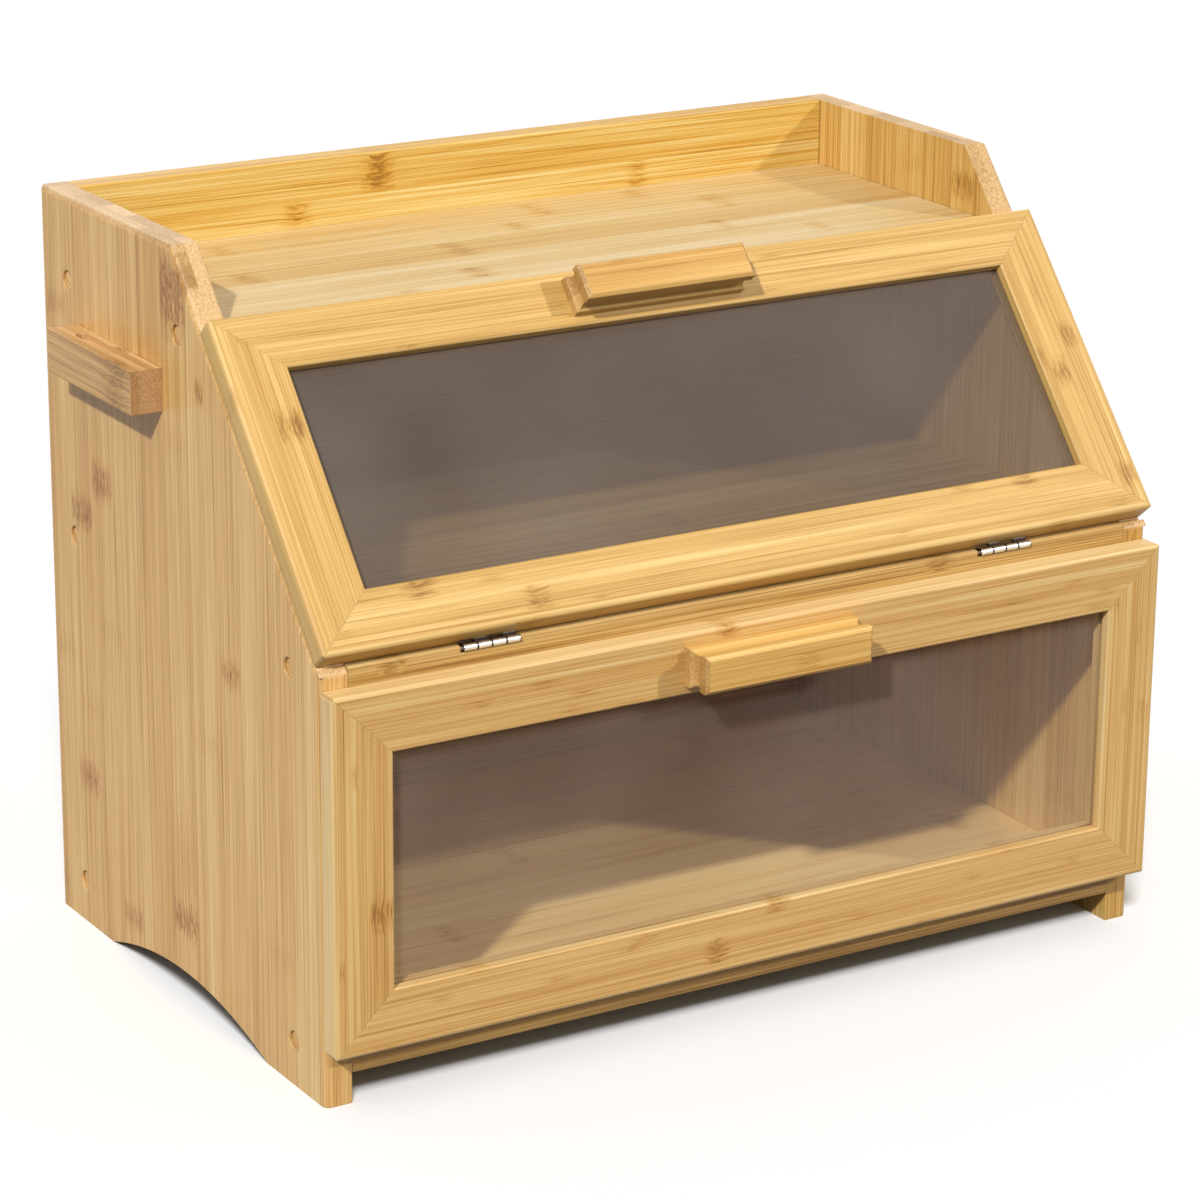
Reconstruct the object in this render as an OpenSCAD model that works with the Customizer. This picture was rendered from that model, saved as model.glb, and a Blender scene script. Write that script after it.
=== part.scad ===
// Two-level bread box: a framed drop-down door on each level and an open tray on top.
// Millimetres. X runs across the front, +Y to the back and Z up from the table.
// The origin is on the table, midway across and midway from the lower handle to the back.

/* [Carcass] */
// Width over the side panels
box_w = 400; // [320:1:600]
// Depth of the side panels
box_d = 250; // [215:1:350]
// Height of the side panels
box_h = 325; // [290:1:380]
// Thickness of the sides, bottom, shelf, tray and tray rail
board_t = 12; // [10:0.5:16]
// Thickness of the back panel
back_t = 6; // [4:0.5:10]
// Height of the bottom board's underside
bottom_z = 13.2; // [12:0.2:24]
// Height of the middle shelf's top
shelf_top = 183.2; // [165:0.2:200]
// Depth of the open tray below the side panels' top
tray_depth = 30; // [23:1:50]
// Lean of the upper front from the vertical, in degrees
slope = 40.4; // [34:0.2:44]
// Radius of the rounded step at the foot of the sloped edges
step_r = 3.6; // [3:0.1:6]
// Radius of the side panels' outer arrises
panel_round = 3; // [1:0.5:4]
// Length of each front foot
front_foot = 50.6; // [30:0.2:70]
// Length of each back foot
back_foot = 52.6; // [30:0.2:70]
// Rise of the arch between the feet
arch_h = 12.5; // [6:0.5:14]
// Bevel on the front arris of the boards
board_bevel = 0.6; // [0.2:0.1:1.5]

/* [Doors] */
// Thickness of both door frames
door_t = 10; // [9:0.5:14]
// Reach of each door past the side panels
door_overhang = 0.3; // [0:0.1:2]
// Width of the upper door's rails
upper_rail_w = 25; // [22:0.5:35]
// Width of the upper door's stiles
upper_stile_w = 27; // [22:0.5:35]
// Width of the lower door's rails
lower_rail_w = 26; // [22:0.5:35]
// Width of the lower door's stiles
lower_stile_w = 26.5; // [22:0.5:35]
// Lap of the lower door over the shelf's edge
shelf_lap = 4; // [2:0.5:5]
// Lap of the lower door over the bottom board's edge
bottom_lap = 1.2; // [0.8:0.1:1.4]
// Radius of the doors' outer arrises
door_round = 1.8; // [0.5:0.1:3]
// Radius of the doors' corners
door_corner = 2; // [0.5:0.1:4]
// Bevel of the frames' inner arrises
frame_bevel = 0.6; // [0.2:0.1:1.5]

/* [Windows] */
// Thickness of the clear sheets
sheet_t = 2; // [1.5:0.1:3]
// Depth of a sheet's face behind the frame's front
sheet_inset = 4.5; // [3:0.1:5]
// Depth of the grooves that hold the sheets
groove_d = 6; // [4:0.5:8]

/* [Door handles] */
// Width of each door handle
handle_w = 81.5; // [60:0.5:120]
// Height of a handle's foot
handle_h = 16.6; // [14:0.2:20]
// Reach of a handle in front of its door
handle_reach = 16; // [13:0.5:20]
// Thickness of a handle's foot
handle_foot = 4; // [2:0.5:5]
// Thickness of a handle's front plate
plate_t = 5; // [3:0.5:6]
// Amount by which the front plate is lower than the foot
plate_less = 0.8; // [0:0.1:2]
// Depth of the cove between foot and plate
cove_d = 1.4; // [0.5:0.1:2.5]
// Bevel round the front plate
plate_bevel = 1.4; // [0.5:0.1:2]
// Distance from the upper door's top edge to the middle of its handle
upper_handle_drop = 12.6; // [11:0.2:14]
// Distance from the lower door's top edge to the middle of its handle
lower_handle_drop = 13.9; // [11:0.2:15]

/* [Side grips] */
// Length of each side grip
grip_l = 80; // [60:0.5:110]
// Height of each side grip
grip_h = 18.5; // [14:0.5:26]
// Reach of a side grip outwards
grip_reach = 14; // [13:0.5:20]
// Distance of a grip's front end behind the front edge
grip_y = 134.5; // [126:0.5:138]
// Distance of a grip's top below the side panels' top
grip_drop = 52.5; // [48.5:0.5:90]
// Width of the finger groove in a grip's top
finger_w = 6; // [4:0.5:7]
// Length of the finger groove
finger_l = 36; // [20:1:50]
// Depth of the finger groove
finger_d = 3; // [1:0.5:6]
// Thickness of the wall outside the finger groove
finger_wall = 5; // [3:0.5:6]
// Distance of the groove's middle behind the grip's middle
finger_shift = 7; // [-8:1:8]
// Distance of a grip's screws from its ends
grip_screw_in = 11; // [8:0.5:16]
// Distance of a grip's screws below its middle
grip_screw_drop = 2.5; // [0:0.5:3]
// Wood left between a grip's screws and its face
grip_skin = 5; // [4:0.5:8]

/* [Hinges] */
// Length of each hinge
hinge_l = 26; // [20:1:40]
// Distance of each hinge's middle from the middle of the box
hinge_x = 124.5; // [80:0.5:130]
// Number of knuckles in a hinge
knuckles = 4; // [3:1:7]
// Radius of the knuckles
knuckle_r = 1.5; // [1.3:0.1:1.6]
// Radius of the hinge pins
pin_r = 0.7; // [0.5:0.05:0.8]
// Thickness of the leaves
leaf_t = 1.2; // [0.8:0.1:1.3]
// Reach of the leaves from the hinge's axis
leaf_reach = 11; // [10:0.5:16]
// Depth of the upper hinge axis below the shelf's top
upper_axis_drop = 0.7; // [0.5:0.1:1.2]

/* [Screws] */
// Radius of the wood screws in the carcass and the handles
screw_r = 1.9; // [1.5:0.1:2.2]
// Length of the screws through the side panels
carcass_screw_l = 32; // [25:1:45]
// Radius of the plugs that hide them
plug_r = 4; // [3.6:0.1:4.5]
// Length of a plug
plug_l = 3; // [2:0.5:3.5]
// Depth of a plug below the panel's face
plug_sink = 1.2; // [0.5:0.1:1.5]
// Distance of the front screws behind the boards' front edges
front_screw_in = 26.5; // [20:0.5:32]
// Distance of the back screws from the back edge
back_screw_in = 25.5; // [20:0.5:40]
// Length of the tray rail's screws above the tray board
rail_screw_bite = 16; // [10:1:17]
// Length of the back panel's screws in the boards
back_screw_bite = 18; // [12:1:24]
// Distance of a door handle's screws from its ends
handle_screw_in = 16; // [10:1:24]
// Radius of the hinge leaf screws
leaf_screw_r = 1; // [0.7:0.1:1.2]
// Length of the hinge leaf screws
leaf_screw_l = 7; // [5:0.5:7.5]

/* [Magnets] */
// Radius of the magnets in the side panels' edges
magnet_r = 3; // [2:0.5:4]
// Thickness of the magnets
magnet_t = 3; // [2:0.5:5]
// Radius of the steel strikes in the doors
strike_r = 4; // [3:0.5:5]
// Thickness of the steel strikes
strike_t = 1.5; // [1:0.1:2.5]
// Distance of magnets and strikes from a door's top edge
magnet_drop = 14; // [10:1:30]

/* [Fits] */
// Gap between a closed door and the edges it rests on
door_gap = 0.3; // [0.25:0.05:0.6]
// Gap between the upper door's foot and the top of the shelf, along the slope
foot_gap = 0.55; // [0.5:0.05:1]
// Gap at the ends of boards that fit between the sides
end_gap = 0.25; // [0.1:0.05:0.5]
// Radial clearance of a pin in its knuckles
pin_gap = 0.05; // [0.02:0.01:0.1]
// Clearance round screws, plugs, magnets, sheets and leaves
seat_gap = 0.05; // [0.03:0.01:0.1]
// Clearance round the knuckles in their notches
notch_gap = 0.35; // [0.3:0.05:0.5]

/* [Hidden] */
$fn = 48;

side_colour = "#CDA86C";
board_colour = "#DDB877";
frame_colour = "#EBC680";
clear_colour = [0.75, 0.72, 0.66, 0.35];
steel_colour = "#C9CBCD";
magnet_colour = "#6F7276";

cut = 1;
left_right = [-1, 1];
half_w = box_w / 2;
inner_w = box_w - 2 * board_t;
board_w = inner_w - 2 * end_gap;
board_d = box_d - back_t;
front_reach = door_gap + door_t + handle_reach;
mid_y = (box_d - front_reach) / 2;

tray_top = box_h - tray_depth;
grip_z = box_h - grip_drop - grip_h;
bottom_top = bottom_z + board_t;
shelf_z = shelf_top - board_t;
tray_z = tray_top - board_t;
arch_w = box_d - front_foot - back_foot;
arch_r = (arch_w * arch_w / 4 + arch_h * arch_h) / (2 * arch_h);
slope_l = (box_h - shelf_top) / cos(slope);
// Depth of the sloped edges at a height above the table
function slope_y(z) = step_r + (z - shelf_top) * tan(slope);

door_w = box_w + 2 * door_overhang;
upper_h = (tray_top - shelf_top) / cos(slope);
lower_z = bottom_top - bottom_lap;
lower_h = shelf_z + shelf_lap - lower_z;
upper_y = step_r + foot_gap * sin(slope) - door_gap * cos(slope);
upper_z = shelf_top + foot_gap * cos(slope) + door_gap * sin(slope);
sheet_back = door_t - sheet_inset - sheet_t;
sheet_reach = groove_d - 0.5;

// Hinge axes: heights in the box, then places in each door's own axes
upper_axis_z = shelf_top - upper_axis_drop;
lower_axis_z = bottom_top - knuckle_r;
upper_axis_v = (upper_axis_z - upper_z) * cos(slope) - upper_y * sin(slope);
upper_axis_w = (upper_axis_z - upper_z) * sin(slope) + upper_y * cos(slope);
lower_axis_v = lower_axis_z - lower_z;
lower_axis_w = -door_gap;
knuckle_l = hinge_l / knuckles;
knuckle_side = 0.1;
leaf_start = knuckle_r + notch_gap;
upper_notch_d = upper_y - (upper_z - shelf_top) * tan(slope) + notch_gap;
lower_notch_d = knuckle_r + notch_gap;
notch_side = 0.5;
pin_proud = 0.2;
leaf_screw_at = leaf_start + (leaf_reach - leaf_start) * 0.62;
leaf_screw_x = hinge_l / 2 - 5;
leaf_head_r = 2 * leaf_screw_r;
leaf_head_h = 0.9 * leaf_screw_r;
drive_d = 0.45;

plug_rim = 0.5;
head_r = 3.4;
head_h = 2.4;
head_seat = plug_sink + plug_l + head_h;
rail_screw_l = board_t + rail_screw_bite;
rail_screw_x = box_w / 3;
back_screw_l = back_t + back_screw_bite;
back_screw_x = box_w * 0.3;
handle_screw_l = door_t + handle_reach - plate_t;
handle_screw_x = handle_w / 2 - handle_screw_in;
grip_screw_l = board_t + grip_reach - grip_skin;

// Box axes to the part's own frame
module in_frame() {
    translate([0, -mid_y, 0]) children();
}

// A door's own axes: X across, Y up the door, Z from its back to its front
module on_upper_door() {
    in_frame() translate([0, upper_y, upper_z]) rotate([90 - slope, 0, 0]) children();
}

module on_lower_door() {
    in_frame() translate([0, -door_gap, lower_z]) rotate([90, 0, 0]) children();
}

// What lies outside a quarter circle in the corner at the origin
module corner_waste(radius) {
    difference() {
        translate([-cut, -cut]) square(radius + cut);
        translate([radius, radius]) circle(radius);
    }
}

// A bar along Y that rounds the arris on the Y axis, for a body on its +X and -Z side
module arris_bar(length, radius) {
    translate([0, length + cut, 0])
        rotate([90, 0, 0])
        linear_extrude(length + 2 * cut)
        mirror([0, 1])
        corner_waste(radius);
}

// A prism across the box, from an outline of depth and height
module across(width) {
    translate([-width / 2, 0, 0]) rotate([90, 0, 90]) linear_extrude(width) children();
}

// A countersunk wood screw with its head's face at the origin, pointing up
module flat_screw(length, radius, head, sink) {
    difference() {
        union() {
            cylinder(h = length, r = radius);
            cylinder(h = sink, r1 = head, r2 = radius);
        }
        for (turn = [0, 90])
            rotate(turn) translate([0, 0, drive_d / 2 - cut / 2])
                cube([head * 1.1, head * 0.22, drive_d + cut], center = true);
    }
}

module flat_screw_hole(length, radius, head, sink) {
    translate([0, 0, -cut]) cylinder(h = length + cut + seat_gap, r = radius + seat_gap);
    cylinder(h = sink + seat_gap, r1 = head + seat_gap, r2 = radius + seat_gap);
    translate([0, 0, -cut]) cylinder(h = cut + seat_gap, r = head + seat_gap);
}

module handle_screw() {
    flat_screw(handle_screw_l, screw_r, head_r, head_h);
}

module handle_screw_hole() {
    flat_screw_hole(handle_screw_l, screw_r, head_r, head_h);
}

// ---- Carcass ----

// Depth and height of the screws through a side panel
function panel_screws() = [
    [front_screw_in, bottom_z + board_t / 2],
    [box_d - back_screw_in, bottom_z + board_t / 2],
    [front_screw_in, shelf_z + board_t / 2],
    [box_d - back_screw_in, shelf_z + board_t / 2],
    [slope_y(tray_z + board_t / 2) + front_screw_in, tray_z + board_t / 2],
    [box_d - back_screw_in, tray_z + board_t / 2]
];

// Puts its children at each screw of the left panel, with Z inwards from the panel's face
module at_panel_screws() {
    for (spot = panel_screws())
        translate([-half_w, spot[0], spot[1]]) rotate([0, 90, 0]) children();
}

module carcass_screw() {
    translate([0, 0, plug_sink + plug_l]) {
        difference() {
            cylinder(h = head_h, r = head_r);
            translate([0, 0, -cut]) cylinder(h = cut + 1.4, r = 1.8, $fn = 6);
        }
        cylinder(h = carcass_screw_l, r = screw_r);
    }
}

module carcass_screw_hole() {
    translate([0, 0, -cut]) cylinder(h = head_seat + cut, r = plug_r + seat_gap);
    translate([0, 0, -cut]) cylinder(h = carcass_screw_l + head_seat, r = screw_r + seat_gap);
    translate([0, 0, -plug_rim])
        cylinder(h = 2 * plug_rim, r1 = plug_r + 2 * plug_rim, r2 = plug_r);
}

// Puts its children at each screw of the left grip, with Z outwards from the panel's inner face
module at_grip_screws() {
    for (y = [grip_y + grip_screw_in, grip_y + grip_l - grip_screw_in])
        translate([-half_w + board_t, y, grip_z + grip_h / 2 - grip_screw_drop])
            rotate([0, -90, 0]) children();
}

module side_outline() {
    difference() {
        polygon([
            [0, 0], [box_d, 0], [box_d, box_h], [slope_y(box_h), box_h],
            [step_r, shelf_top], [0, shelf_top]
        ]);
        translate([0, shelf_top]) mirror([0, 1]) corner_waste(step_r);
        translate([front_foot + arch_w / 2, arch_h - arch_r]) circle(arch_r, $fn = 180);
    }
}

// The left side panel; the right one is its mirror image
module side_panel() {
    difference() {
        translate([-half_w, 0, 0]) rotate([90, 0, 90]) linear_extrude(board_t) side_outline();
        // rounded outer arrises: top, slope, back and front
        translate([-half_w, slope_y(box_h), box_h]) arris_bar(box_d - slope_y(box_h), panel_round);
        translate([-half_w, step_r, shelf_top]) rotate([90 - slope, 0, 0])
            arris_bar(slope_l, panel_round);
        translate([-half_w, box_d, box_h]) rotate([-90, 0, 0]) arris_bar(box_h, panel_round);
        translate([-half_w, 0, 0]) rotate([90, 0, 0]) arris_bar(shelf_top - step_r, panel_round);
        at_panel_screws() carcass_screw_hole();
        at_grip_screws() flat_screw_hole(grip_screw_l, screw_r, head_r, head_h);
    }
}

module side_panel_left() {
    color(side_colour) difference() {
        in_frame() side_panel();
        on_upper_door() magnets(upper_h, seat_gap);
        on_lower_door() magnets(lower_h, seat_gap);
    }
}

module side_panel_right() {
    color(side_colour) difference() {
        in_frame() mirror([1, 0, 0]) side_panel();
        on_upper_door() magnets(upper_h, seat_gap);
        on_lower_door() magnets(lower_h, seat_gap);
    }
}

// A board from the front to the back panel, with its hinges let into its front top arris
module hinged_board(low, axis_z, notch_d) {
    top = low + board_t;
    difference() {
        across(board_w) polygon([
            [0, low], [board_d - seat_gap, low], [board_d - seat_gap, top],
            [board_bevel, top], [0, top - board_bevel]
        ]);
        for (side = left_right) translate([side * hinge_x, 0, 0]) {
            translate([-hinge_l / 2 - notch_side, -cut, axis_z - knuckle_r - notch_gap])
                cube([hinge_l + 2 * notch_side, notch_d + cut, board_t]);
            translate([-hinge_l / 2 - seat_gap, 0, top - leaf_t - seat_gap])
                cube([hinge_l + 2 * seat_gap, leaf_reach + seat_gap, board_t]);
            translate([0, 0, top]) at_board_leaf_screws()
                flat_screw_hole(leaf_screw_l, leaf_screw_r, leaf_head_r, leaf_head_h);
        }
        for (side = left_right) scale([side, 1, 1]) at_panel_screws() carcass_screw_hole();
        for (x = [-1, 0, 1]) translate([x * back_screw_x, box_d, low + board_t / 2])
            rotate([90, 0, 0]) flat_screw_hole(back_screw_l, screw_r, head_r, head_h);
    }
}

module bottom_board() {
    color(board_colour) in_frame() hinged_board(bottom_z, lower_axis_z, lower_notch_d);
}

module middle_shelf() {
    color(board_colour) in_frame() hinged_board(shelf_z, upper_axis_z, upper_notch_d);
}

// Puts its children at the screws that hold the tray rail, pointing up
module at_rail_screws() {
    for (x = [-1, 0, 1]) translate([x * rail_screw_x, box_d - board_t / 2, tray_z]) children();
}

module tray_board() {
    color(board_colour) in_frame() difference() {
        across(board_w) polygon([
            [slope_y(tray_z), tray_z], [box_d, tray_z], [box_d, tray_top],
            [slope_y(tray_top), tray_top]
        ]);
        at_rail_screws() flat_screw_hole(rail_screw_l, screw_r, head_r, head_h);
        for (side = left_right) scale([side, 1, 1]) at_panel_screws() carcass_screw_hole();
    }
}

module tray_back_rail() {
    color(board_colour) in_frame() difference() {
        across(board_w) polygon([
            [box_d - board_t, tray_top], [box_d, tray_top], [box_d, box_h - board_bevel],
            [box_d - board_bevel, box_h], [box_d - board_t + board_bevel, box_h],
            [box_d - board_t, box_h - board_bevel]
        ]);
        at_rail_screws() flat_screw_hole(rail_screw_l, screw_r, head_r, head_h);
    }
}

// Puts its children at the screws through the back panel, pointing forwards
module at_back_screws() {
    for (low = [bottom_z, shelf_z])
        for (x = [-1, 0, 1])
            translate([x * back_screw_x, box_d, low + board_t / 2]) rotate([90, 0, 0]) children();
}

module back_panel() {
    color(board_colour) in_frame() difference() {
        translate([-board_w / 2, board_d, bottom_z])
            cube([board_w, back_t, tray_z - seat_gap - bottom_z]);
        at_back_screws() flat_screw_hole(back_screw_l, screw_r, head_r, head_h);
    }
}

// The left grip; the right one is its mirror image
module side_grip() {
    middle = grip_y + grip_l / 2 + finger_shift;
    run = finger_l - finger_w;
    slot_x = -half_w - grip_reach + finger_wall;
    floor_z = grip_z + grip_h - finger_d;
    difference() {
        translate([-half_w - grip_reach, grip_y, grip_z])
            cube([grip_reach - seat_gap, grip_l, grip_h]);
        translate([slot_x, middle - run / 2, floor_z]) cube([finger_w, run, finger_d + cut]);
        for (end = left_right)
            translate([slot_x + finger_w / 2, middle + end * run / 2, floor_z])
                cylinder(h = finger_d + cut, d = finger_w);
        at_grip_screws() flat_screw_hole(grip_screw_l, screw_r, head_r, head_h);
    }
}

module side_grip_left() {
    color(side_colour) in_frame() side_grip();
}

module side_grip_right() {
    color(side_colour) in_frame() mirror([1, 0, 0]) side_grip();
}

module carcass_screws() {
    color(steel_colour) in_frame() for (side = left_right)
        scale([side, 1, 1]) at_panel_screws() carcass_screw();
}

module screw_plugs() {
    color(board_colour) in_frame() for (side = left_right)
        scale([side, 1, 1]) at_panel_screws()
            translate([0, 0, plug_sink]) cylinder(h = plug_l - seat_gap, r = plug_r);
}

module tray_rail_screws() {
    color(steel_colour) in_frame() at_rail_screws()
        flat_screw(rail_screw_l, screw_r, head_r, head_h);
}

module back_panel_screws() {
    color(steel_colour) in_frame() at_back_screws()
        flat_screw(back_screw_l, screw_r, head_r, head_h);
}

module side_grip_screws() {
    color(steel_colour) in_frame() for (side = left_right)
        scale([side, 1, 1]) at_grip_screws() flat_screw(grip_screw_l, screw_r, head_r, head_h);
}

// ---- Hinges ----

// Puts its children at both hinges of a row
module at_hinges() {
    for (side = left_right) translate([side * hinge_x, 0, 0]) children();
}

// The knuckles of one leaf: first is 0 or 1, and every second knuckle belongs to the leaf
module leaf_knuckles(first) {
    for (i = [first:2:knuckles - 1])
        translate([-hinge_l / 2 + i * knuckle_l + knuckle_side, 0, 0])
            rotate([0, 90, 0]) cylinder(h = knuckle_l - 2 * knuckle_side, r = knuckle_r);
}

module pin_bore() {
    rotate([0, 90, 0]) cylinder(h = hinge_l + 2 * cut, r = pin_r + pin_gap, center = true);
}

module pin() {
    rotate([0, 90, 0]) cylinder(h = hinge_l + 2 * pin_proud, r = pin_r, center = true);
}

// Puts its children at the screws of a leaf that lies on a board, pointing down from its top
module at_board_leaf_screws() {
    for (side = left_right)
        translate([side * leaf_screw_x, leaf_screw_at, 0]) mirror([0, 0, 1]) children();
}

// A leaf let into the top of a board, around the hinge's axis; drop is the axis below the top
module board_leaf(drop, notch_d) {
    difference() {
        union() {
            translate([-hinge_l / 2, 0, drop - leaf_t]) cube([hinge_l, leaf_reach, leaf_t]);
            leaf_knuckles(0);
        }
        for (i = [1:2:knuckles - 1])
            translate([-hinge_l / 2 + i * knuckle_l - knuckle_side, -knuckle_r, -knuckle_r - cut])
                cube([knuckle_l + 2 * knuckle_side, knuckle_r + notch_d, 2 * knuckle_r + 2 * cut]);
        pin_bore();
        translate([0, 0, drop]) at_board_leaf_screws()
            flat_screw_hole(leaf_screw_l, leaf_screw_r, leaf_head_r, leaf_head_h);
    }
}

// Puts its children at the screws of a leaf on a door's back, pointing into the door
module at_door_leaf_screws(axis_v) {
    for (side = left_right)
        translate([side * leaf_screw_x, axis_v + leaf_screw_at, 0]) children();
}

// A leaf let into a door's back; axis_v and axis_w place the hinge's axis in the door's axes
module door_leaf(axis_v, axis_w) {
    body_v = max(0, axis_v + leaf_start);
    difference() {
        union() {
            translate([-hinge_l / 2, body_v, 0])
                cube([hinge_l, axis_v + leaf_reach - body_v, leaf_t]);
            for (i = [1:2:knuckles - 1])
                translate([-hinge_l / 2 + i * knuckle_l + knuckle_side, axis_v, 0])
                    cube([knuckle_l - 2 * knuckle_side, body_v - axis_v + cut, leaf_t]);
            translate([0, axis_v, axis_w]) leaf_knuckles(1);
        }
        translate([0, axis_v, axis_w]) pin_bore();
        at_door_leaf_screws(axis_v)
            flat_screw_hole(leaf_screw_l, leaf_screw_r, leaf_head_r, leaf_head_h);
    }
}

module upper_hinge_shelf_leaves() {
    color(steel_colour) in_frame() at_hinges()
        translate([0, 0, upper_axis_z]) board_leaf(shelf_top - upper_axis_z, upper_notch_d);
}

module lower_hinge_board_leaves() {
    color(steel_colour) in_frame() at_hinges()
        translate([0, 0, lower_axis_z]) board_leaf(bottom_top - lower_axis_z, lower_notch_d);
}

module upper_hinge_pins() {
    color(steel_colour) in_frame() at_hinges() translate([0, 0, upper_axis_z]) pin();
}

module lower_hinge_pins() {
    color(steel_colour) in_frame() at_hinges() translate([0, 0, lower_axis_z]) pin();
}

module shelf_leaf_screws() {
    color(steel_colour) in_frame() at_hinges() translate([0, 0, shelf_top])
        at_board_leaf_screws() flat_screw(leaf_screw_l, leaf_screw_r, leaf_head_r, leaf_head_h);
}

module board_leaf_screws() {
    color(steel_colour) in_frame() at_hinges() translate([0, 0, bottom_top])
        at_board_leaf_screws() flat_screw(leaf_screw_l, leaf_screw_r, leaf_head_r, leaf_head_h);
}

module upper_hinge_door_leaves() {
    color(steel_colour) on_upper_door() at_hinges() door_leaf(upper_axis_v, upper_axis_w);
}

module lower_hinge_door_leaves() {
    color(steel_colour) on_lower_door() at_hinges() door_leaf(lower_axis_v, lower_axis_w);
}

module upper_door_leaf_screws() {
    color(steel_colour) on_upper_door() at_hinges() at_door_leaf_screws(upper_axis_v)
        flat_screw(leaf_screw_l, leaf_screw_r, leaf_head_r, leaf_head_h);
}

module lower_door_leaf_screws() {
    color(steel_colour) on_lower_door() at_hinges() at_door_leaf_screws(lower_axis_v)
        flat_screw(leaf_screw_l, leaf_screw_r, leaf_head_r, leaf_head_h);
}

// ---- Magnets and strikes, in a door's own axes ----

module magnets(height, gap = 0) {
    for (side = left_right)
        translate([side * (half_w - board_t / 2), height - magnet_drop, -door_gap - magnet_t - gap])
            cylinder(h = magnet_t + gap * (1 + cut / seat_gap), r = magnet_r + gap);
}

module strikes(height, gap = 0) {
    for (side = left_right)
        translate([side * (half_w - board_t / 2), height - magnet_drop, -cut * gap / seat_gap])
            cylinder(h = strike_t + gap * (1 + cut / seat_gap), r = strike_r + gap);
}

module upper_magnets() {
    color(magnet_colour) on_upper_door() magnets(upper_h);
}

module lower_magnets() {
    color(magnet_colour) on_lower_door() magnets(lower_h);
}

module upper_strikes() {
    color(steel_colour) on_upper_door() strikes(upper_h);
}

module lower_strikes() {
    color(steel_colour) on_lower_door() strikes(lower_h);
}

// ---- Doors, in their own axes ----

// Section of a frame member: X from the outer edge inwards, Y from the back to the front
module member_section(width) {
    difference() {
        square([width, door_t]);
        translate([0, door_t]) mirror([0, 1]) corner_waste(door_round);
        translate([width, door_t]) rotate(45) square(frame_bevel * sqrt(2), center = true);
        translate([width - groove_d, sheet_back - seat_gap])
            square([groove_d + cut, sheet_t + 2 * seat_gap]);
    }
}

// What rounds off the lower left corner of a frame
module door_corner_waste() {
    translate([-door_w / 2, 0, -cut]) linear_extrude(door_t + 2 * cut) corner_waste(door_corner);
}

// The bottom rail of a frame, mitred at both ends
module frame_rail(rail, stile) {
    lean = stile / rail * cut;
    difference() {
        intersection() {
            across(door_w + 2 * cut) member_section(rail);
            translate([0, 0, -cut]) linear_extrude(door_t + 2 * cut) polygon([
                [-door_w / 2 - lean, -cut], [door_w / 2 + lean, -cut],
                [door_w / 2 - stile - lean, rail + cut], [-door_w / 2 + stile + lean, rail + cut]
            ]);
        }
        for (side = left_right) scale([side, 1, 1]) door_corner_waste();
    }
}

// The left stile of a frame, mitred at both ends
module frame_stile(height, rail, stile) {
    lean = rail / stile * cut;
    difference() {
        translate([-door_w / 2, 0, 0]) intersection() {
            translate([0, height + cut, 0]) rotate([90, 0, 0])
                linear_extrude(height + 2 * cut) member_section(stile);
            translate([0, 0, -cut]) linear_extrude(door_t + 2 * cut) polygon([
                [-cut, -lean], [stile + cut, rail + lean],
                [stile + cut, height - rail - lean], [-cut, height + lean]
            ]);
        }
        door_corner_waste();
        translate([0, height, 0]) mirror([0, 1, 0]) door_corner_waste();
    }
}

// Puts its children at a handle's screws, from the door's back forwards
module at_handle_screws(height, drop) {
    for (side = left_right)
        translate([side * handle_screw_x, height - drop, 0]) children();
}

module door_top_rail(height, rail, stile, drop) {
    difference() {
        translate([0, height, 0]) mirror([0, 1, 0]) frame_rail(rail, stile);
        at_handle_screws(height, drop) handle_screw_hole();
    }
}

// The bottom rail, cut for its hinges: a mortise for the knuckles and a recess for each leaf
module door_bottom_rail(rail, stile, axis_v, axis_w) {
    difference() {
        frame_rail(rail, stile);
        at_hinges() {
            translate([-hinge_l / 2 - notch_side, axis_v - 2 * knuckle_r, -cut])
                cube([hinge_l + 2 * notch_side, 2 * knuckle_r + leaf_start, cut + axis_w + leaf_start]);
            translate([-hinge_l / 2 - seat_gap, -cut, -cut])
                cube([hinge_l + 2 * seat_gap, cut + axis_v + leaf_reach + seat_gap,
                    cut + leaf_t + seat_gap]);
            at_door_leaf_screws(axis_v)
                flat_screw_hole(leaf_screw_l, leaf_screw_r, leaf_head_r, leaf_head_h);
        }
    }
}

module door_left_stile(height, rail, stile) {
    difference() {
        frame_stile(height, rail, stile);
        strikes(height, seat_gap);
    }
}

module door_window(height, rail, stile) {
    width = door_w - 2 * (stile - sheet_reach);
    translate([-width / 2, rail - sheet_reach, sheet_back])
        cube([width, height - 2 * (rail - sheet_reach), sheet_t]);
}

// Side outline of a door handle: X is the size that narrows, Y runs out of the door
module handle_outline(foot) {
    plate = foot - plate_less;
    cove_h = handle_reach - handle_foot - plate_t;
    cove_r = (cove_h * cove_h / 4 + cove_d * cove_d) / (2 * cove_d);
    difference() {
        polygon([
            [-foot / 2, 0], [foot / 2, 0], [foot / 2, handle_foot],
            [plate / 2, handle_reach - plate_t], [plate / 2, handle_reach - plate_bevel],
            [plate / 2 - plate_bevel, handle_reach], [plate_bevel - plate / 2, handle_reach],
            [-plate / 2, handle_reach - plate_bevel], [-plate / 2, handle_reach - plate_t],
            [-foot / 2, handle_foot]
        ]);
        for (side = left_right)
            translate([side * (plate / 2 - cove_d + cove_r), handle_foot + cove_h / 2])
                circle(cove_r);
    }
}

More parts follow.
